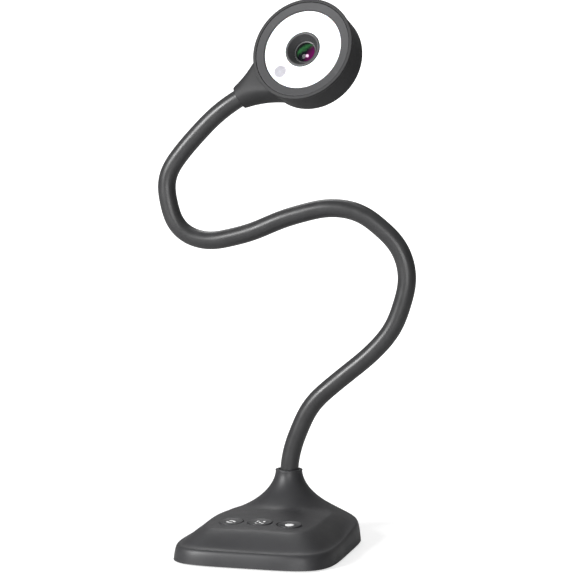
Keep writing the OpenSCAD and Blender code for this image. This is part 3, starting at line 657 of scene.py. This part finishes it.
def key_place(i):
    """Frame of a key: Z is the way it is pushed out, and its origin is on the moulding."""
    drop = 0.0
    if i:
        drop = float(skin_z(KEY_PITCH, -KEY_ROW)) - KEY_Z
    lean = Matrix.Rotation(KEY_LEAN, 4, "X")
    return Matrix.Translation((0, -KEY_ROW, KEY_Z)) @ lean @ Matrix.Translation((i * KEY_PITCH, 0, drop))


def slot_outline(half_flat, radius):
    """Outline of a slot with round ends."""
    line = []
    for side in (1, -1):
        for k in range(17):
            turn = math.pi * (k / 16 - 0.5)
            line.append((side * (half_flat + radius * math.cos(turn)), side * radius * math.sin(turn)))
    return line


def build_base():
    """The moulding as one smooth skin with three key holes and a socket opening."""
    outer = skin_rings(0.0, OUTER_RINGS, math.inf)
    inner = skin_rings(WALL, INNER_RINGS, NECK_CEILING)
    lip = NECK_TOP + NECK_LIP
    rim = [(NECK_BORE, NECK_CEILING), (NECK_BORE, NECK_TOP), (NECK_BORE + 0.12, lip - 0.2)]
    rim += [(NECK_BORE + 0.5, lip), (NECK_R - 1.2, lip)]
    rim += [(NECK_R - 0.5, lip - 0.15), (NECK_R - 0.12, lip - 0.45)]
    rings = inner[::-1] + [neck_ring(r, z) for r, z in rim] + outer
    points = np.concatenate(rings)
    base = mesh_piece("base_moulding", points, ring_faces(len(rings), SKIN_RAYS, closed_rows=True))
    cutters = []
    hole = KEY_R + KEY_GAP
    turns = np.linspace(0, 1.5, 6)
    edge = [(hole + HOLE_ROUND * (1 - math.cos(t)), HOLE_ROUND * (math.sin(t) - 1)) for t in turns]
    profile = [(0, -12), (hole, -12)] + edge + [(hole + 1.2, 0.08), (hole + 1.2, 4), (0, 4)]
    for i in (-1, 0, 1):
        cutters.append(revolve(f"cutter_{i}", profile, surface_frame(i * KEY_PITCH, -KEY_ROW), 96))
    rear = Matrix.Translation((0, BASE_D / 2, USB_Z)) @ Matrix.Rotation(math.radians(-90), 4, "X")
    cutters.append(prism("cutter_socket", slot_outline(USB_HALF, USB_R + 0.25), -6, 6, rear))
    combine(base, cutters, "DIFFERENCE")
    modified(base, "WEIGHTED_NORMAL", keep_sharp=True)
    return place_piece(base, "base", SLOTS["base_plastic"], "base_plastic", "base_shell")


def dish_z(x, y):
    """Height of a key's dished top over its frame."""
    ball = (KEY_R**2 + DISH_DEPTH**2) / (2 * DISH_DEPTH)
    return ball + DISH_LIFT - DISH_DEPTH - math.sqrt(ball**2 - x * x - y * y)


def build_key(i, name):
    """A key cap with a dished top, a rounded rim, a flange and a stem over its switch."""
    stem_low = KEY_STEM_LOW
    if i:
        stem_low -= float(skin_z(KEY_PITCH, -KEY_ROW)) - KEY_Z
    top = [(r, dish_z(r, 0)) for r in np.linspace(0, KEY_R - DISH_RIM, 14)]
    turns = np.linspace(-0.5, 1.57, 7)
    lip = [(KEY_R + KEY_ROUND * (math.sin(t) - 1), 0.08 + KEY_ROUND * math.cos(t)) for t in turns]
    flange = KEY_R + FLANGE_REACH
    skirt = [(KEY_R, FLANGE_TOP), (flange, FLANGE_TOP), (flange, FLANGE_LOW), (KEY_STEM_R, FLANGE_LOW)]
    stem = [(KEY_STEM_R, stem_low + 0.3), (KEY_STEM_R - 0.3, stem_low), (0, stem_low)]
    cap = revolve(f"{name}_cap", top + lip + skirt + stem, key_place(i), 96)
    place_piece(cap, f"{name}_button", SLOTS["key_plastic"], "key_plastic", f"{name}_key")


def mark_grid(corners, steps=8):
    """Points of a four-cornered patch, row by row."""
    a, b, c, d = [np.array(p, float) for p in corners]
    rows = []
    for j in np.linspace(0, 1, steps):
        rows.append([(a + (b - a) * i) * (1 - j) + (d + (c - d) * i) * j for i in np.linspace(0, 1, steps)])
    return rows


def arc_grid(r_low, r_high, start, stop, steps=20):
    """Points of a patch of a ring, row by row."""
    rows = []
    for r in np.linspace(r_low, r_high, 4):
        turns = np.radians(np.linspace(start, stop, steps))
        rows.append([np.array([r * math.cos(t), r * math.sin(t)]) for t in turns])
    return rows


def turned(grid, degrees):
    """A patch turned about the key's middle."""
    c = math.cos(math.radians(degrees))
    s = math.sin(math.radians(degrees))
    return [[np.array([c * p[0] - s * p[1], s * p[0] + c * p[1]]) for p in row] for row in grid]


def build_mark(i, name, patches):
    """Raised print in a key's dish, made of patches of points."""
    points = []
    faces = []
    for grid in patches:
        start = len(points)
        cols = len(grid[0])
        for row in grid:
            points += [key_place(i) @ Vector((p[0], p[1], dish_z(p[0], p[1]) + PRINT_LIFT)) for p in row]
        faces += [tuple(start + v for v in f) for f in ring_faces(len(grid), cols, closed_cols=False)]
    mark = mesh_piece(f"{name}_print", points, faces)
    modified(mark, "SOLIDIFY", thickness=PRINT_T * MM, offset=0)
    place_piece(mark, f"{name}_button", SLOTS["mark_print"], "mark_print", f"{name}_mark")


def rotate_patches():
    """Two curved arrows that chase each other."""
    band = arc_grid(1.75, 2.5, 25, 130)
    arrow = mark_grid([(-1.05, 0.35), (1.05, 0.35), (0.05, -1.15), (-0.05, -1.15)])
    away = np.array([2.1 * math.cos(0.35), 2.1 * math.sin(0.35)])
    head = [[p + away for p in row] for row in turned(arrow, 20)]
    return [turned(g, t) for g in (band, head) for t in (0, 180)]


def focus_patches():
    """Four corner brackets round a dot."""
    legs = [mark_grid([(1.1, 1.95), (2.6, 1.95), (2.6, 2.6), (1.1, 2.6)])]
    legs.append(mark_grid([(1.95, 1.1), (2.6, 1.1), (2.6, 1.95), (1.95, 1.95)]))
    return [turned(g, t) for g in legs for t in (0, 90, 180, 270)] + [arc_grid(0.02, 0.9, 0, 360)]


def light_patches():
    """A plain round dot."""
    return [arc_grid(0.02, 2.7, 0, 360, 40)]


def build_feet():
    """Four round rubber feet with softened edges, let into the base plate."""
    points = []
    faces = []
    profile = rounded([(0, 0, 0), (FOOT_R, 0, 0.35), (FOOT_R, FOOT_T, 0), (0, FOOT_T, 0)])
    for x in (-CORNER_X, CORNER_X):
        for y in (-CORNER_Y, CORNER_Y):
            start = len(points)
            for r, z in profile:
                turns = [TAU * i / FOOT_SIDES for i in range(FOOT_SIDES)]
                points += [(x + r * math.cos(t), y + r * math.sin(t), z) for t in turns]
            faces += [tuple(start + v for v in f) for f in ring_faces(len(profile), FOOT_SIDES)]
    feet = mesh_piece("feet", points, faces)
    place_piece(feet, "base", SLOTS["foot_rubber"], "foot_rubber", "rubber_feet")


# ---------------------------------------------------------------------------------------------
# Gooseneck
# ---------------------------------------------------------------------------------------------

HALF_BEND = PIVOT_PITCH / 2 - PIVOT_FLAT
STRETCHES = [(RISE, 0), (FIRST_PIVOT - RISE - PIVOT_FLAT, FIRST_TURN)]
for low_turn, high_turn in TURNS:
    STRETCHES += [(2 * PIVOT_FLAT, 0), (HALF_BEND, low_turn), (HALF_BEND, high_turn)]
STRETCHES += [(2 * PIVOT_FLAT, 0), (LAST_BEND, LAST_TURN), (STEM_DEPTH, 0)]
ARM_END = sum(length for length, turn in STRETCHES) - STEM_DEPTH


def chain(s):
    """Point (x, z) and heading of the arm's centre line, a distance along it from its foot."""
    x, z, heading = 0.0, float(ARM_FOOT_Z), math.pi / 2
    for length, turn in STRETCHES:
        d = min(s, length)
        if turn:
            k = math.radians(turn) / length
            x += (math.sin(heading + k * d) - math.sin(heading)) / k
            z -= (math.cos(heading + k * d) - math.cos(heading)) / k
            heading += k * d
        else:
            x += d * math.cos(heading)
            z += d * math.sin(heading)
        s -= d
        if s <= 0:
            break
    return np.array([x, z]), heading


def last_frame(along):
    """Frame a distance along the last bend, which alone leaves the arm's plane. Z runs along it."""
    radius = LAST_BEND / math.radians(-LAST_TURN)
    turn = along / radius
    (x, z), heading = chain(ARM_END - LAST_BEND)
    foot = Matrix.Translation((x, NECK_Y, z)) @ Matrix.Rotation(math.pi / 2 - heading, 4, "Y")
    foot = foot @ Matrix.Rotation(math.radians(LAST_TWIST), 4, "Z")
    step = Matrix.Translation((radius * (1 - math.cos(turn)), 0, radius * math.sin(turn)))
    return foot @ step @ Matrix.Rotation(turn, 4, "Y")


def centre_point(s):
    """Point on the centre line, a distance along it from its foot."""
    beyond = s - (ARM_END - LAST_BEND)
    if beyond > 0:
        along = min(beyond, LAST_BEND)
        return np.array(last_frame(along) @ Vector((0, 0, beyond - along)))
    x, z = chain(s)[0]
    return np.array([x, NECK_Y, z])


def arm_point(s):
    """Point on the centre line, averaged over a short length so that the bend changes smoothly."""
    return sum(centre_point(s + d) for d in np.linspace(-SMOOTH_REACH, SMOOTH_REACH, 7)) / 7


def build_arm_skin(k):
    """Sleeve across one pivot, from the middle of the section below to the middle of the one above."""
    pivot = FIRST_PIVOT + PIVOT_PITCH * (k - 1)
    start = RISE if k == 1 else pivot - PIVOT_PITCH / 2
    stop = ARM_END + SLEEVE_IN_STEM if k == PIVOTS else pivot + PIVOT_PITCH / 2
    steps = int((stop - start) / SLEEVE_STEP)
    points = []
    for s in np.linspace(start, stop, steps + 1):
        ahead = arm_point(s + SLEEVE_STEP / 2) - arm_point(s - SLEEVE_STEP / 2)
        ahead /= np.linalg.norm(ahead)
        side = np.array([0, 1, 0]) - ahead * ahead[1]
        side /= np.linalg.norm(side)
        out = np.cross(side, ahead)
        middle = arm_point(s)
        for i in range(SLEEVE_SIDES):
            turn = TAU * i / SLEEVE_SIDES
            points.append(middle + SLEEVE_R * (out * math.cos(turn) + side * math.sin(turn)))
    skin = mesh_piece(f"arm_skin_{k}", points, ring_faces(steps + 1, SLEEVE_SIDES))
    nodes = [f"sleeve_{k - 1}"] + (["sleeve_8"] if k == PIVOTS else [])
    place_piece(skin, None, SLOTS["sleeve_rubber"], "sleeve_rubber", *nodes)
    first, last = (tuple(arm_point(s) * MM) for s in (pivot - BEND_REACH, pivot + BEND_REACH))
    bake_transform(skin)


# ---------------------------------------------------------------------------------------------
# Head
# ---------------------------------------------------------------------------------------------

# STEM: Z toward the head and X out of its back. HEAD: Z out of the face and -X toward the stem.
STEM = last_frame(LAST_BEND) @ Matrix.Rotation(math.radians(90 - HEAD_ROLL - LAST_TWIST), 4, "Z")
HEAD = STEM @ Matrix.Translation((0, 0, STEM_L)) @ Matrix.Rotation(math.radians(-90), 4, "Y")
STEM_FRONT = FACE_Z - 2.6
STEM_BACK = FACE_Z - 1.4
STEM_ROOT_R = 29.4


def stem_r(along):
    """Half width of the stem, which swells in a hollow curve toward the head."""
    lean = math.radians(STEM_HOLLOW_ANGLE)
    depth = along + STEM_HOLLOW_R * math.sin(lean)
    return STEM_R + STEM_HOLLOW_R * math.cos(lean) - math.sqrt(STEM_HOLLOW_R**2 - depth**2)


def stem_point(share, turn, inner=0.0):
    """Point on the stem at a share of its length, which ends inside the drum's wall."""
    low, high = 0.0, STEM_L - 20.0
    for _ in range(30):
        end = (low + high) / 2
        half = inner or stem_r(end)
        inside = math.hypot(STEM_L - end, half * math.sin(turn)) < STEM_ROOT_R
        low, high = (low, end) if inside else (end, high)
    along = share * end
    r = inner or stem_r(along)
    x = r * math.cos(turn)
    limit = STEM_BACK if x > 0 else STEM_FRONT
    if not inner:
        x /= (1 + (abs(x) / limit) ** 7) ** (1 / 7)
    return STEM @ Vector((x, r * math.sin(turn), along))


def build_stem():
    """The flared stem: a round mouth that widens and flattens toward the drum."""
    turns = [TAU * i / STEM_SIDES for i in range(STEM_SIDES)]
    points = []
    for share in np.linspace(1, 0.02, 12):
        points += [stem_point(share, t, STEM_BORE) for t in turns]
    mouth = [(STEM_BORE, 0.3, 0), (STEM_BORE, 0, 0.12), (STEM_R, 0, 0.5), (STEM_R, 0.7, 0)]
    for r, z in rounded(mouth, 5)[1:-1]:
        points += [STEM @ Vector((r * math.cos(t), r * math.sin(t), z)) for t in turns]
    for share in np.linspace(0.05, 1, 42):
        points += [stem_point(share, t) for t in turns]
    rows = len(points) // STEM_SIDES
    return mesh_piece("stem", points, ring_faces(rows, STEM_SIDES, closed_rows=True))


def build_head_shell():
    """The drum with its rounded back and the stem that flares out into it."""
    drum = rounded([
        (0, -FACE_Z, 0), (HEAD_R - 0.9, -FACE_Z, HEAD_BACK_ROUND), (HEAD_R - 0.4, FACE_Z - 3, 0),
        (HEAD_R, FACE_Z - 1.4, 0.6), (HEAD_R, FACE_Z, 0.45), (SEAM_R, FACE_Z, 0.25),
        (SEAM_R, FACE_Z - FACE_DEPTH, 0), (CAVITY_R, FACE_Z - FACE_DEPTH, 0),
        (CAVITY_R, HEAD_WALL - FACE_Z, 0), (0, HEAD_WALL - FACE_Z, 0),
    ])
    shell = revolve("head_moulding", drum, HEAD, HEAD_SIDES)
    combine(shell, [build_stem()], "UNION")
    modified(shell, "WEIGHTED_NORMAL", keep_sharp=True)
    place_piece(shell, "head", SLOTS["head_plastic"], "head_plastic", "head_shell")


def build_face():
    """Trim ring, lit diffuser with its microphone hole, and the dark bowl round the lens."""
    ring = rounded([
        (DIFFUSER_R + 0.08, FACE_Z - RING_DEPTH, 0), (SEAM_R - RING_FIT, FACE_Z - RING_DEPTH, 0),
        (SEAM_R - RING_FIT, FACE_Z - 0.25, 0.3),
        (DIFFUSER_R + 0.7, FACE_Z - 0.6, 0.3), (DIFFUSER_R + 0.08, FACE_Z - 1.1, 0),
    ])
    trim = revolve("trim_ring", ring, HEAD, HEAD_SIDES, closed=True)
    place_piece(trim, "head", SLOTS["ring_plastic"], "ring_plastic", "front_ring")
    disc = rounded([
        (BEZEL_R + FIT, FACE_Z - DISC_DEPTH, 0), (DIFFUSER_R, FACE_Z - DISC_DEPTH, 0),
        (DIFFUSER_R, FACE_Z - DISC_STEP, 0.3), (BEZEL_R + FIT, FACE_Z - DISC_STEP, 0.15),
        (BEZEL_R + FIT, FACE_Z - 3, 0),
    ])
    white = revolve("white_disc", disc, HEAD, HEAD_SIDES, closed=True)
    hole = revolve(
        "cutter_mic", [(0, 2), (MIC_R + 0.06, 2), (MIC_R + 0.06, 20), (0, 20)],
        HEAD @ Matrix.Translation((MIC_X, MIC_Y, 0)), 64,
    )
    combine(white, [hole], "DIFFERENCE")
    place_piece(white, "head", SLOTS["diffuser_plastic"], "diffuser_plastic", "diffuser")
    bowl = rounded([
        (BARREL_R + FIT, -1, 0), (BEZEL_NECK_R, -1, 0), (BEZEL_NECK_R, 2, 0), (BEZEL_R, 5.5, 0),
        (BEZEL_R, FACE_Z - BEZEL_STEP, 0.6), (BEZEL_R - 1.5, FACE_Z - BEZEL_STEP, 0.7),
        (BARREL_R + 0.3, LENS_Z + 1, 0.3), (BARREL_R + FIT, LENS_Z + 0.6, 0),
    ])
    bezel = revolve("lens_bowl", bowl, HEAD, 144, closed=True)
    place_piece(bezel, "head", SLOTS["bezel_plastic"], "bezel_plastic", "lens_bezel")


def build_lens():
    """The front lens, a shallow dome, and the barrel that holds it."""
    reaches = [LENS_R * k / 24 for k in range(25)]
    dome = [(r, LENS_Z - LENS_CURVE + math.sqrt(LENS_CURVE**2 - r**2)) for r in reaches]
    profile = dome + [(LENS_R, LENS_Z - LENS_T), (0, LENS_Z - LENS_T)]
    lens = revolve("front_glass", profile, HEAD, 96)
    local = HEAD.inverted()
    places = []
    for v in lens.data.vertices:
        p = local @ (v.co / MM)
        places += [p.x / LENS_R, p.y / LENS_R, math.hypot(p.x, p.y) / LENS_R]
    layer = lens.data.attributes.new("lens_place", "FLOAT_VECTOR", "POINT")
    layer.data.foreach_set("vector", places)
    place_piece(lens, "head", SLOTS["lens_glass"], "lens_glass", "front_lens")
    seat = LENS_Z - LENS_T - 0.1
    tube = rounded([
        (BARREL_BORE, -3, 0), (BARREL_R, -3, 0.2), (BARREL_R, LENS_Z + 0.3, 0.2),
        (LENS_R + FIT, LENS_Z + 0.1, 0.15), (LENS_R + FIT, seat, 0), (BARREL_BORE, seat, 0),
        (BARREL_BORE, -3, 0),
    ])
    barrel = revolve("barrel", tube, HEAD, 96, closed=True)
    place_piece(barrel, "head", SLOTS["bezel_plastic"], "bezel_plastic", "lens_barrel")


def build_mic_mesh():
    """Round metal plate with close rows of small holes."""
    disc = rounded([(0, 0, 0), (MIC_R, 0, 0.1), (MIC_R, MIC_T, 0.15), (0, MIC_T, 0)])
    place = HEAD @ Matrix.Translation((MIC_X, MIC_Y, FACE_Z - MIC_DEPTH))
    plate = revolve("mic_plate", disc, place, 64)
    cutters = []
    for row in range(-4, 5):
        for col in range(-5, 6):
            x = (col + 0.5 * (row % 2)) * HOLE_PITCH
            y = row * HOLE_PITCH * math.sqrt(3) / 2
            if math.hypot(x, y) < MIC_R - 0.5:
                spot = place @ Matrix.Translation((x, y, 0))
                cutters.append(revolve("hole", [(0, -1), (HOLE_R, -1), (HOLE_R, 2), (0, 2)], spot, 10))
    with bpy.context.temp_override(active_object=cutters[0], selected_editable_objects=cutters):
        bpy.ops.object.join()
    combine(plate, cutters[:1], "DIFFERENCE")
    place_piece(plate, "head", SLOTS["mesh_metal"], "mesh_metal", "mic_mesh")


# ---------------------------------------------------------------------------------------------
# CAD parts that stay, stage, light and camera
# ---------------------------------------------------------------------------------------------


def finish_cad_nodes():
    """Gives every CAD part that stays its material, and a small bevel on the plain-edged ones."""
    slots = {row["node"]: row["material_slot"] for row in frame["record"]["subparts"]}
    bevelled = ("base_plate", "ballast_weight", "base_screws", "ballast_screws", "usb_socket", "neck_screws")
    for name, obj in frame["nodes"].items():
        obj.data.materials.clear()
        obj.data.materials.append(REAR_GLASS if name == "rear_lens" else SLOTS[slots[name]])
        if name in bevelled:
            modified(obj, "BEVEL", width=0.12 * MM, segments=2, limit_method="ANGLE", angle_limit=0.7)


def build_stage():
    """A white floor that sweeps up into a backdrop."""
    bend_y = 1500
    bend_r = 900
    profile = [(-2600, 0), (bend_y, 0)]
    for k in range(13):
        turn = math.pi / 2 * k / 12
        profile.append((bend_y + bend_r * math.sin(turn), bend_r * (1 - math.cos(turn))))
    profile.append((bend_y + bend_r, 3200))
    points = [(x, y, z) for y, z in profile for x in (-3500, 3500)]
    sweep = mesh_piece("sweep", points, ring_faces(len(profile), 2, closed_cols=False), 60)
    f = Finish("paper")
    f.set(Base_Color=f.mix(f.spread(f.noise(30), 0, 1), (0.5, 0.5, 0.5), (0.51, 0.51, 0.51)))
    seen = f.node("ShaderNodeLightPath").outputs["Is Camera Ray"]
    split = f.node("ShaderNodeSeparateXYZ")
    f.join(f.where, split.inputs["Vector"])
    lift = f.spread(split.outputs["Y"], 0.66, 1.2, 0.1, 0.7)
    f.set(Roughness=0.9, Emission_Color=(1.0, 1.0, 1.0), Emission_Strength=f.math("MULTIPLY", seen, lift))
    sweep.data.materials.append(f.material)


def soft_light(name, place, aim, size, power):
    """A round soft light that faces the point it is aimed at."""
    light = bpy.data.lights.new(name, "AREA")
    light.shape = "DISK"
    light.size = size * MM
    light.energy = power
    obj = bpy.data.objects.new(name, light)
    obj.location = Vector(place) * MM
    obj.rotation_euler = (Vector(aim) - Vector(place)).to_track_quat("-Z", "Y").to_euler()
    bpy.context.scene.collection.objects.link(obj)


def light_scene():
    """A white room, a key light from the front left and three weak fills."""
    world = bpy.data.worlds.new("studio")
    world.use_nodes = True
    tree = world.node_tree
    background = tree.nodes["Background"]
    background.inputs["Color"].default_value = (1, 1, 1, 1)
    # The room looks white to the camera, but lights the object only a little
    seen = tree.nodes.new("ShaderNodeLightPath")
    strength = tree.nodes.new("ShaderNodeMapRange")
    strength.inputs["To Min"].default_value = 0.16
    strength.inputs["To Max"].default_value = 1.1
    tree.links.new(seen.outputs["Is Camera Ray"], strength.inputs["Value"])
    tree.links.new(strength.outputs["Result"], background.inputs["Strength"])
    bpy.context.scene.world = world
    soft_light("key_light", (-1150, -1350, 900), (0, 0, 150), 700, 47)
    soft_light("top_light", (0, 200, 1700), (0, 40, 100), 900, 3)
    soft_light("front_fill", (500, -1500, 350), (0, 0, 120), 900, 14)
    soft_light("rear_fill", (-500, 1100, 1500), (0, 0, 150), 900, 7)
    bpy.context.scene.view_settings.view_transform = "Standard"


def place_camera():
    """The camera stands in front, a little to the right and above, and looks slightly down."""
    azimuth = math.radians(15.992)
    tilt = math.radians(4.581)
    right = Vector((math.cos(azimuth), math.sin(azimuth), 0))
    level = Vector((-math.sin(azimuth), math.cos(azimuth), 0))
    forward = level * math.cos(tilt) - Vector((0, 0, math.sin(tilt)))
    up = right.cross(forward)
    stand = Vector((337.09, -1139.58, 253.59)) * MM
    camera = bpy.data.cameras.new("view")
    camera.sensor_width = 36
    camera.lens = 125.2
    camera.clip_end = 20
    obj = bpy.data.objects.new("view", camera)
    turn = Matrix((right, up, -forward)).transposed().to_4x4()
    obj.matrix_world = Matrix.Translation(stand) @ turn
    bpy.context.scene.collection.objects.link(obj)
    bpy.context.scene.camera = obj


finish_cad_nodes()
build_base()
for key_index, key_name in ((-1, "rotate"), (0, "focus"), (1, "light")):
    build_key(key_index, key_name)
build_mark(-1, "rotate", rotate_patches())
build_mark(0, "focus", focus_patches())
build_mark(1, "light", light_patches())
build_feet()
for pivot_number in range(1, PIVOTS + 1):
    build_arm_skin(pivot_number)
build_head_shell()
build_face()
build_lens()
build_mic_mesh()
build_stage()
light_scene()
place_camera()
